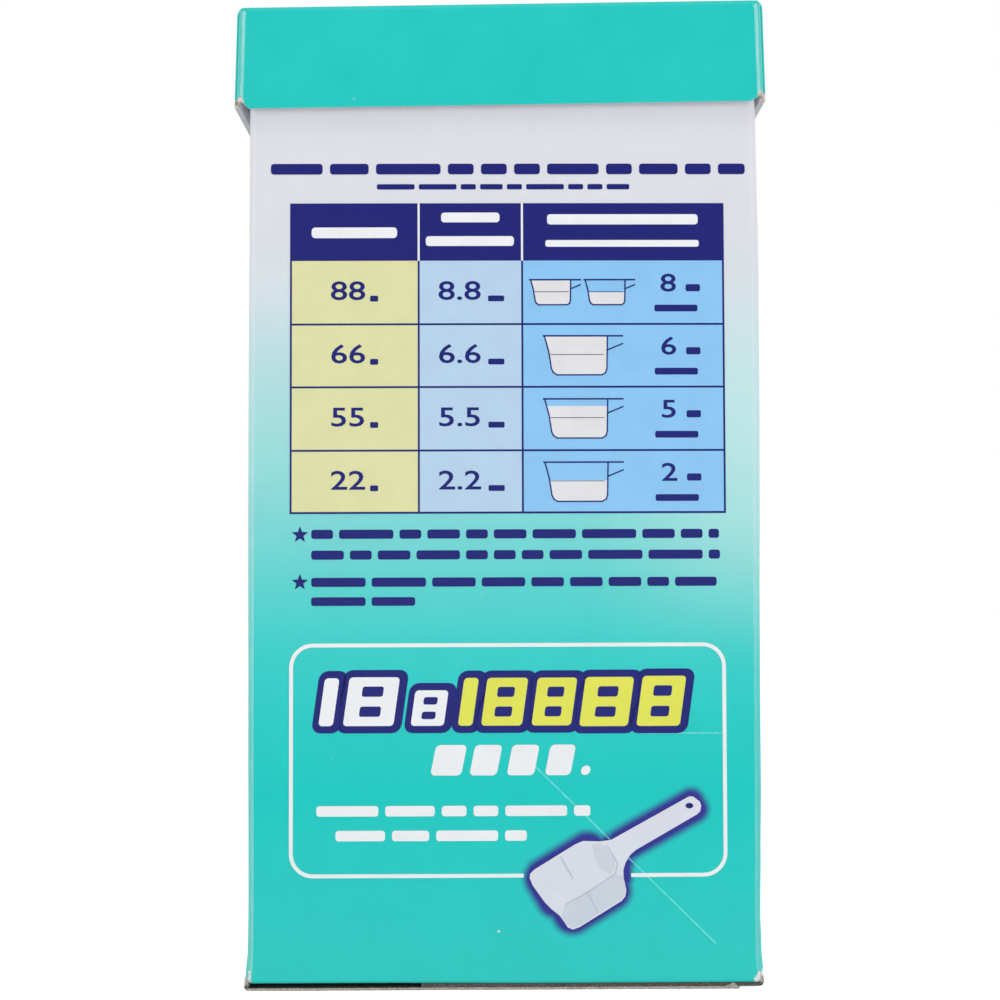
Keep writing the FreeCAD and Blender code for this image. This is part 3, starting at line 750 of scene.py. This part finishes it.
class Ink:
    """One piece of print on the near panel: flat shapes in one ink, in millimetres across and up."""

    def __init__(self, name, material, layer=0):
        self.name = name
        self.material = material
        self.layer = layer
        self.bm = bmesh.new()

    def shape(self, corners, rounding=0.0):
        """A closed outline, filled, with its corners rounded."""
        verts = [self.bm.verts.new((x, 0, z)) for x, z in corners]
        self.bm.faces.new(verts)
        if rounding:
            segments = 10 if rounding > WIDE_ROUNDING else 4
            bmesh.ops.bevel(self.bm, geom=verts, offset=rounding, segments=segments, profile=0.5,
                            affect="VERTICES", material=-1)

    def bar(self, left, right, low, high, rounding=0.0, slant=0.0):
        """An upright or slanted bar."""
        lean = slant * (high - low)
        self.shape([(left, low), (right, low), (right + lean, high), (left + lean, high)], rounding)

    def disc(self, x, z, radius, sides=16):
        """A filled circle."""
        turned = Matrix.Translation((x, 0, z)) @ Matrix.Rotation(math.radians(90), 4, "X")
        return bmesh.ops.create_circle(self.bm, cap_ends=True, segments=sides, radius=radius,
                                       matrix=turned)["verts"]

    def star(self, x, z, radius):
        """A star with five points."""
        for vertex in self.disc(x, z, radius, 10)[1::2]:
            vertex.co = Vector((x, 0, z)).lerp(vertex.co, STAR_WAIST)

    def stroke(self, points, width):
        """A line of even width through some points."""
        for first, last in zip(points, points[1:]):
            start = Vector(first)
            end = Vector(last)
            ahead = (end - start).normalized() * width / 2
            side = Vector((-ahead.y, ahead.x))
            self.shape([start - ahead + side, start - ahead - side, end + ahead - side, end + ahead + side])

    def cut_to_grid(self):
        """Cuts the shapes along a grid, so that they can bend."""
        for axis in (0, 2):
            places = [vertex.co[axis] for vertex in self.bm.verts]
            low, high = min(places), max(places)
            if high - low > INK_GRID:
                for step in range(math.ceil(low / INK_GRID), math.floor(high / INK_GRID) + 1):
                    cut(self.bm, axis, step * INK_GRID, INK_CUT_GAP)

    def finish(self):
        """Lays the print on the bent panel."""
        for face in self.bm.faces:
            face.normal_update()
            if face.normal.y > 0:
                face.normal_flip()
        self.cut_to_grid()
        lift = mm(INK_LIFT + INK_STEP * self.layer)
        for vertex in self.bm.verts:
            place = Vector((mm(vertex.co.x), -HALF_DEPTH, mm(vertex.co.z)))
            vertex.co = press(place) - Vector((0, lift, 0))
        for face in self.bm.faces:
            face.smooth = True
        finish_piece(self.bm, self.name, (self.material,), "box")


# Header bars: left, right, foot, top and rounding
HEADER_BARS = ((-42.4, -23.4, 165.9, 168.3, 0.8), (-13.6, -0.6, 169.4, 171.6, 0.7),
               (-17, 2.6, 164.1, 166.3, 0.7), (10, 43.6, 168.9, 171.2, 0.7),
               (9.6, 43.8, 163.9, 165.4, 0.5))
COLUMN_INKS = ((YELLOW, "yellow"), (PALE_BLUE, "pale_blue"), (SKY_BLUE, "sky_blue"))


def print_table():
    """A table whose rules are the dark ground between its cells."""
    ground = Ink("print_table_rules", NAVY)
    ground.bar(TABLE_LEFT, TABLE_RIGHT, TABLE_FOOT, TABLE_TOP)
    ground.finish()
    edges = (TABLE_LEFT,) + COLUMN_LINES + (TABLE_RIGHT,)
    for (material, name), start, end in zip(COLUMN_INKS, edges, edges[1:]):
        cells = Ink("print_cells_" + name, material, 1)
        left = start + (RULE if start == TABLE_LEFT else RULE / 2)
        right = end - (RULE if end == TABLE_RIGHT else RULE / 2)
        for top, foot in zip(ROW_EDGES, ROW_EDGES[1:]):
            low_rule = RULE if foot == TABLE_FOOT else RULE / 2
            cells.bar(left, right, foot + low_rule, top - (0 if top == HEADER_FOOT else RULE / 2))
        cells.finish()
    header = Ink("print_table_header", WHITE, 1)
    for line in COLUMN_LINES:
        header.bar(line - RULE / 2, line + RULE / 2, HEADER_FOOT, TABLE_TOP)
    for bar in HEADER_BARS:
        header.bar(*bar)
    header.finish()


ROW_NUMBERS = (8, 6, 5, 2)

# Numbers in a row: name, form, left edge, foot from the row's middle, and height
ROW_FIGURES = (("a", "%d%d", -38.3, -1.6, 4.3), ("b", "%d.%d", -14.4, -1.6, 4.3), ("c", "%d", 35, 0.2, 4.1))

# Marks in a row: left, right, foot and top from the row's middle, and rounding
ROW_MARKS = ((-29.4, -27.6, -2, -0.7, 0.3), (-3.2, 0.4, -2, -0.7, 0.3),
             (40.8, 44, 0.2, 1.8, 0.4), (33.8, 43.4, -4.3, -2.8, 0.4))
FONT_SIZE = 1.38  # size of the font for a digit one high
DIGIT_BOLDNESS = 0.014
DIGIT_WIDTH = 1.35  # the digits are this much wider than the font draws them
DIGIT_STEPS = 3  # segments of each curve in a digit


def print_figures():
    """Plain numbers in the cells, getting smaller down the table, as on any scale."""
    marks = Ink("print_figure_marks", NAVY, 2)
    for number, top, foot in zip(ROW_NUMBERS, ROW_EDGES, ROW_EDGES[1:]):
        middle = (top + foot) / 2
        for name, form, left, low, size in ROW_FIGURES:
            digits = form % ((number,) * form.count("%d"))
            add_number("print_number_%d_%s" % (number, name), digits, left, middle + low, size)
        for left, right, low, high, rounding in ROW_MARKS:
            marks.bar(left, right, middle + low, middle + high, rounding)
    marks.finish()


def add_number(name, digits, left, foot, size):
    """A plain number in the printed navy, laid on the panel."""
    curve = bpy.data.curves.new(name, "FONT")
    curve.body = digits
    curve.size = size * FONT_SIZE
    curve.offset = size * DIGIT_BOLDNESS
    curve.resolution_u = DIGIT_STEPS
    drawn = bpy.data.objects.new(name, curve)
    bpy.context.scene.collection.objects.link(drawn)
    bpy.context.view_layer.update()
    flat = bpy.data.meshes.new_from_object(drawn)
    bpy.data.objects.remove(drawn)
    bpy.data.curves.remove(curve)
    ink = Ink(name, NAVY, 2)
    ink.bm.from_mesh(flat)
    bpy.data.meshes.remove(flat)
    upright = Matrix(((DIGIT_WIDTH, 0, 0, left), (0, 0, 0, 0), (0, 1, 0, foot), (0, 0, 0, 1)))
    bmesh.ops.transform(ink.bm, matrix=upright, verts=ink.bm.verts)
    ink.finish()


# Lines of print: left, right, foot, top and the length of one letter
TOP_LINES = ((-51.5, 54.4, 180.2, 182.6, 3.6), (-27.9, 29.5, 176.8, 178, 2.1))
NOTE_LINES = ((-42.4, 47.8, 99, 101, 3), (-42.4, 48, 94.4, 96.4, 3),
              (-42.4, 47.2, 88.4, 90.4, 3), (-42.4, -19, 84.2, 86.1, 3))
WHITE_LINES = ((-41.2, 19, 38, 40.3, 3.4), (-37, 5, 32.6, 34.9, 3.4))
WORD_LENGTHS = (1.6, 2.4, 3.2, 4)  # in letters
WORD_LEAST = 0.5
WORD_GAP = 0.45
BAR_ROUNDING = 0.28  # as a share of a bar's height
STARS = ((-44.9, 99.9), (-44.9, 89.4))
STAR_RADIUS = 1.9


def text_bars(ink, left, right, low, high, unit):
    """A line of print as plain bars of uneven lengths, with gaps between."""
    x = left
    while x < right - unit * WORD_LEAST:
        end = min(x + unit * random.choice(WORD_LENGTHS), right)
        ink.bar(x, end, low, high, rounding=(high - low) * BAR_ROUNDING)
        x = end + unit * WORD_GAP


def print_lines():
    """Lines of print as bars of ink, and the stars that mark two of them."""
    for name, material, lines, stars in (("top", NAVY, TOP_LINES, ()), ("notes", NAVY, NOTE_LINES, STARS),
                                         ("white", WHITE, WHITE_LINES, ())):
        ink = Ink("print_lines_" + name, material)
        for line in lines:
            text_bars(ink, *line)
        for across, height in stars:
            ink.star(across, height, STAR_RADIUS)
        ink.finish()


def is_in_gap(point):
    """Tells the part of the frame's foot that the pictured scoop hides."""
    return FRAME_GAP[0] < point.x < FRAME_GAP[1] and point.z < FRAME_FOOT + FRAME_CORNER


def print_frame():
    """A white line with round corners. The pictured scoop breaks it at its foot."""
    line = Ink("print_frame_line", WHITE)
    half = FRAME_LINE / 2
    line.bar(FRAME_LEFT - half, FRAME_RIGHT + half, FRAME_FOOT - half, FRAME_TOP + half, FRAME_CORNER + half)
    line.bm.normal_update()
    bmesh.ops.inset_region(line.bm, faces=line.bm.faces[:], thickness=FRAME_LINE, use_boundary=True,
                           use_even_offset=True)
    inside = max(line.bm.faces, key=lambda face: face.calc_area())
    bmesh.ops.delete(line.bm, geom=[inside], context="FACES")
    for place in FRAME_GAP:
        cut(line.bm, 0, place, INK_CUT_GAP)
    gap = [face for face in line.bm.faces if is_in_gap(face.calc_center_median())]
    bmesh.ops.delete(line.bm, geom=gap, context="FACES")
    line.finish()


# Headline blocks: left, right, foot and top, in white and in yellow
HEAD_WHITE = ((-40.8, -37.6, 57.8, 68.3), (-35.4, -24.3, 57.8, 68.5), (-20.5, -13.2, 57.8, 65.6))
HEAD_GOLD = ((-10.1, -6.9, 57.8, 68.3), (-5, 4, 57.8, 68.3), (6.1, 14.8, 57.8, 68.3),
             (16.6, 27.3, 57.6, 68.4), (29.2, 38.8, 57.6, 68.6))
HEAD_SLANT = 0.14
HEAD_ROUNDING = 0.8
HEAD_OUTLINE = 1.6
OUTLINE_ROUNDING = 2.0
SLOT_LEAST = 5.0  # a block narrower than this has no slots
SLOTS = ((0.19, 0.4), (0.6, 0.81))  # foot and top of the slots, as shares of a block's height
SLOT_SIDE_SHARE = 0.29
SLOT_ROUNDING = 0.5

# Blocks of the line below: left, right and top
SECOND_BLOCKS = ((-16.2, -9.4, 53.6), (-7.6, -1.6, 53.6), (0.6, 6.6, 53.6), (9, 14.6, 53.6),
                 (16.8, 18.8, 49))
SECOND_FOOT = 46.9
SECOND_SLANT = 0.2
SECOND_ROUNDING = 1.0


def add_slots(ink, left, right, foot, top):
    """Two slots, one over the other, in a wide slanted block."""
    side = (right - left) * SLOT_SIDE_SHARE
    height = top - foot
    for low, high in SLOTS:
        lean = HEAD_SLANT * height * low
        ink.bar(left + side + lean, right - side + lean, foot + height * low, foot + height * high,
                SLOT_ROUNDING, HEAD_SLANT)


def print_headline():
    """Slanted blocks where the headline stands, in two colours with a navy outline."""
    outline = Ink("print_headline_outline", NAVY)
    slots = Ink("print_headline_slots", NAVY, 2)
    for left, right, foot, top in HEAD_WHITE + HEAD_GOLD:
        outline.bar(left - HEAD_OUTLINE, right + HEAD_OUTLINE, foot - HEAD_OUTLINE, top + HEAD_OUTLINE,
                    OUTLINE_ROUNDING, HEAD_SLANT)
        if right - left > SLOT_LEAST:
            add_slots(slots, left, right, foot, top)
    outline.finish()
    for name, material, blocks in (("white", WHITE, HEAD_WHITE), ("yellow", HEAD_YELLOW, HEAD_GOLD)):
        fill = Ink("print_headline_" + name, material, 1)
        for block in blocks:
            fill.bar(*block, HEAD_ROUNDING, HEAD_SLANT)
        fill.finish()
    slots.finish()
    second = Ink("print_headline_second", WHITE)
    for left, right, top in SECOND_BLOCKS:
        second.bar(left, right, SECOND_FOOT, top, SECOND_ROUNDING, SECOND_SLANT)
    second.finish()


# Pictured cups: left edge, width, height, row, and how full each is
CUPS = ((6.3, 8.9, 5.6, 0, 1), (18.4, 8.9, 5.6, 0, 0.5), (9.3, 14, 8.7, 1, 1),
        (9.3, 14, 8.7, 2, 0.82), (9.3, 14, 8.7, 3, 0.54))

# Places on a cup, as shares of its width from the left and of its height from the top
CUP_SIDE = ((0, 0), (0.07, 0.42), (0.11, 0.84), (0.14, 0.94), (0.20, 1), (0.91, 1), (0.97, 0.94),
            (0.99, 0.83), (1, 0))
CUP_HANDLE_END = 1.24
CUP_BRACE = ((CUP_HANDLE_END, 0.2), (1, 0.36))
CUP_MARK = ((0.1, 0.48), (0.94, 0.48))
CUP_LIP = 0.2  # the rim starts this much left of the cup
LIP_LEAN = 0.16  # how far the lip leans in down the whole cup, as a share of its width
FILL_INSIDE = 0.005  # the fill ends this share of the width inside the right edge
CUP_LINE, RIM_LINE, LEVEL_LINE = 0.3, 0.34, 0.14


def print_cups():
    """Plain pictures of a measuring cup, with the level that it is filled to."""
    fill = Ink("print_cup_fill", CUP_FILL, 2)
    lines = Ink("print_cup_lines", NAVY, 3)
    for left, width, height, row, level in CUPS:
        top = (ROW_EDGES[row] + ROW_EDGES[row + 1]) / 2 + height / 2
        side, brace, mark = [[(left + across * width, top - down * height) for across, down in places]
                             for places in (CUP_SIDE, CUP_BRACE, CUP_MARK)]
        surface = top - height * (1 - level)
        lip = (left + LIP_LEAN * width * (1 - level), surface)
        edge = (left + width - FILL_INSIDE * width, surface)
        fill.shape([lip] + [corner for corner in side[1:-1] if corner[1] < surface] + [edge])
        lines.stroke(side, CUP_LINE)
        lines.stroke([(left - CUP_LIP, top), (left + width * CUP_HANDLE_END, top)], RIM_LINE)
        lines.stroke(brace, CUP_LINE)
        lines.stroke(mark, LEVEL_LINE)
    fill.finish()
    lines.finish()


# The pictured scoop, clockwise from the end of its handle, with its shaded side and end
SCOOP_OUTLINE = ((40.7, 42.1), (41.6, 42.1), (43.1, 41), (43.4, 40.1), (43.2, 38.9), (42.5, 38.2),
                 (29, 30.5), (27.7, 29.4), (26.7, 27.8), (26.2, 26.2), (26.2, 24.6), (26.8, 21.8),
                 (26.6, 20.4), (25.8, 19.4), (16.5, 13.7), (15, 13.2), (13.9, 13.7), (13, 15.1),
                 (12.2, 16.2), (10.1, 17.9), (8.8, 19.3), (6.3, 22.8), (5.6, 24.4), (5.7, 25.4),
                 (6.6, 26.3), (15.5, 31.7), (17.3, 32.5), (21, 32.4), (23.5, 32.7))
SCOOP_SIDE = ((13.4, 18.7), (18.3, 21.3), (22.4, 23.9), (24.6, 25.1), (26.2, 24.7), (26.6, 21.8),
              (25.6, 19.7), (16.4, 14.1), (15, 13.6), (13.7, 14.3), (12.6, 16.2))
SCOOP_END = ((19.3, 31.7), (21, 31.9), (22.4, 31.3), (24.1, 28.7), (24.2, 26.9), (23.3, 25.1),
             (21.4, 26.3), (20, 28.6))
SCOOP_MARKS = (((12.4, 29), (15.1, 24.4)), ((18.3, 21.2), (20.5, 16.8)))
SCOOP_EDGE = ((13.4, 18.7), (18.3, 21.3), (24.4, 25.3), (24.9, 27.6), (22.6, 31.6))
MARK_LINE, EDGE_LINE = 0.16, 0.14
HOLE_ACROSS, HOLE_HEIGHT = 40.8, 40.1
HOLE_RADIUS = 0.85
HOLE_FLATNESS = 0.72


def print_scoop():
    """A picture of a measuring scoop, in flat tones over the soft dark print."""
    body = Ink("print_scoop_body", SCOOP_PALE, 1)
    body.shape(SCOOP_OUTLINE)
    body.finish()
    shade = Ink("print_scoop_shade", SCOOP_SHADE, 2)
    shade.shape(SCOOP_SIDE)
    shade.shape(SCOOP_END)
    shade.finish()
    marks = Ink("print_scoop_marks", SCOOP_LINE, 3)
    for mark in SCOOP_MARKS:
        marks.stroke(mark, MARK_LINE)
    marks.stroke(SCOOP_EDGE, EDGE_LINE)
    marks.finish()
    hole = Ink("print_scoop_hole", NAVY, 3)
    for vertex in hole.disc(HOLE_ACROSS, HOLE_HEIGHT, HOLE_RADIUS):
        vertex.co.z = HOLE_HEIGHT + (vertex.co.z - HOLE_HEIGHT) * HOLE_FLATNESS
    hole.finish()


def build_powder_and_scoop():
    """The loose powder gets its grains, and the scoop its plastic."""
    for node, material in (("washing_powder", POWDER), ("measuring_scoop", SCOOP)):
        mesh = frame["nodes"][node].data
        mesh.materials.clear()
        mesh.materials.append(material)


# Camera, floor and light

CAMERA_PLACE = Vector((mm(-4.2), mm(-468.4), mm(91.6)))
CAMERA_TURN = -0.515  # degrees to the right of +Y
CAMERA_RISE = 2.316  # degrees up
CAMERA_ROLL = -0.172
FOCAL_LENGTH = 64.0
SENSOR = 36.0
FLOOR_HALF = 3.0
FLOOR_WHITE = (0.85, 0.85, 0.85, 1)
FLOOR_GLOW = 0.8  # only for the camera and for reflections
WORLD_LIGHT = 0.40
PURE_WHITE = (1, 1, 1, 1)

# Lamps that look at the middle of the box: name, place, size, and power in watts
LAMPS = (("key_lamp", (-0.75, -0.85, 0.2), (0.9, 0.9), 3.5),
         ("fill_lamp", (0.85, -0.75, 0.12), (0.8, 0.8), 3.85),
         ("low_lamp", (0, -0.75, 0.04), (0.6, 0.06), 0.6),
         ("high_lamp", (0, -0.4, 1.05), (0.6, 0.4), 2.5),
         ("left_lamp", (-1.2, 0.3, 0.35), (0.8, 0.8), 1.9),
         ("right_lamp", (1.2, 0.3, 0.35), (0.8, 0.8), 2.1),
         ("rear_lamp", (0.3, 1.25, 0.5), (1, 1), 3),
         ("top_lamp", (0, 0.3, 1.2), (1, 1), 0.85))
LAMP_TARGET = Vector((0, 0, mm(110)))


def build_camera():
    """A camera where the photo was taken from."""
    data = bpy.data.cameras.new("camera")
    data.lens = FOCAL_LENGTH
    data.sensor_width = SENSOR
    camera = bpy.data.objects.new("camera", data)
    turn = Matrix.Rotation(math.radians(CAMERA_TURN), 4, "Z")
    rise = Matrix.Rotation(math.radians(90 + CAMERA_RISE), 4, "X")
    roll = Matrix.Rotation(math.radians(CAMERA_ROLL), 4, "Z")
    camera.matrix_world = Matrix.Translation(CAMERA_PLACE) @ turn @ rise @ roll
    bpy.context.scene.collection.objects.link(camera)
    bpy.context.scene.camera = camera


def seen_share(tree):
    """The light path node, and 1 for rays from the camera and from reflections."""
    rays = add_node(tree, "ShaderNodeLightPath").outputs
    return rays, math_node(tree, "MAXIMUM", rays["Is Camera Ray"], rays["Is Glossy Ray"])


def build_floor():
    """A plain white floor that keeps the object's shadow."""
    bm = bmesh.new()
    bmesh.ops.create_grid(bm, x_segments=1, y_segments=1, size=FLOOR_HALF)
    mesh = bpy.data.meshes.new("floor")
    bm.to_mesh(mesh)
    bm.free()
    material, tree, shader = new_material("matte_white_floor", 0.9, 0.0, Base_Color=FLOOR_WHITE,
                                          Emission_Color=PURE_WHITE)
    glow = times(tree, seen_share(tree)[1], FLOOR_GLOW)
    tree.links.new(glow, shader.inputs["Emission Strength"])
    mesh.materials.append(material)
    floor = bpy.data.objects.new("floor", mesh)
    bpy.context.scene.collection.objects.link(floor)


def build_world():
    """A soft even light all round, seen by the camera as plain white."""
    world = bpy.data.worlds.new("studio")
    bpy.context.scene.world = world
    world.use_nodes = True
    tree = world.node_tree
    tree.nodes.clear()
    rays, seen = seen_share(tree)
    seen = math_node(tree, "MAXIMUM", seen, rays["Is Transmission Ray"])
    soft, white = [add_node(tree, "ShaderNodeBackground", links={"Color": PURE_WHITE, "Strength": strength})
                   for strength in (WORLD_LIGHT, 1.0)]
    pick = add_node(tree, "ShaderNodeMixShader", links={0: seen, 1: soft.outputs[0], 2: white.outputs[0]})
    add_node(tree, "ShaderNodeOutputWorld", links={"Surface": pick.outputs[0]})


def build_lights():
    """Large soft lamps all round the box."""
    for name, place, size, power in LAMPS:
        data = bpy.data.lights.new(name, "AREA")
        data.shape = "RECTANGLE"
        data.size, data.size_y = size
        data.energy = power
        lamp = bpy.data.objects.new(name, data)
        aim = (LAMP_TARGET - Vector(place)).to_track_quat("-Z", "Y").to_matrix().to_4x4()
        lamp.matrix_world = Matrix.Translation(place) @ aim
        bpy.context.scene.collection.objects.link(lamp)


build_camera()
build_floor()
build_world()
build_lights()
build_carton()
build_lid()
build_powder_and_scoop()
print_table()
print_figures()
print_lines()
print_frame()
print_headline()
print_cups()
print_scoop()

bpy.context.scene.view_settings.view_transform = "Standard"
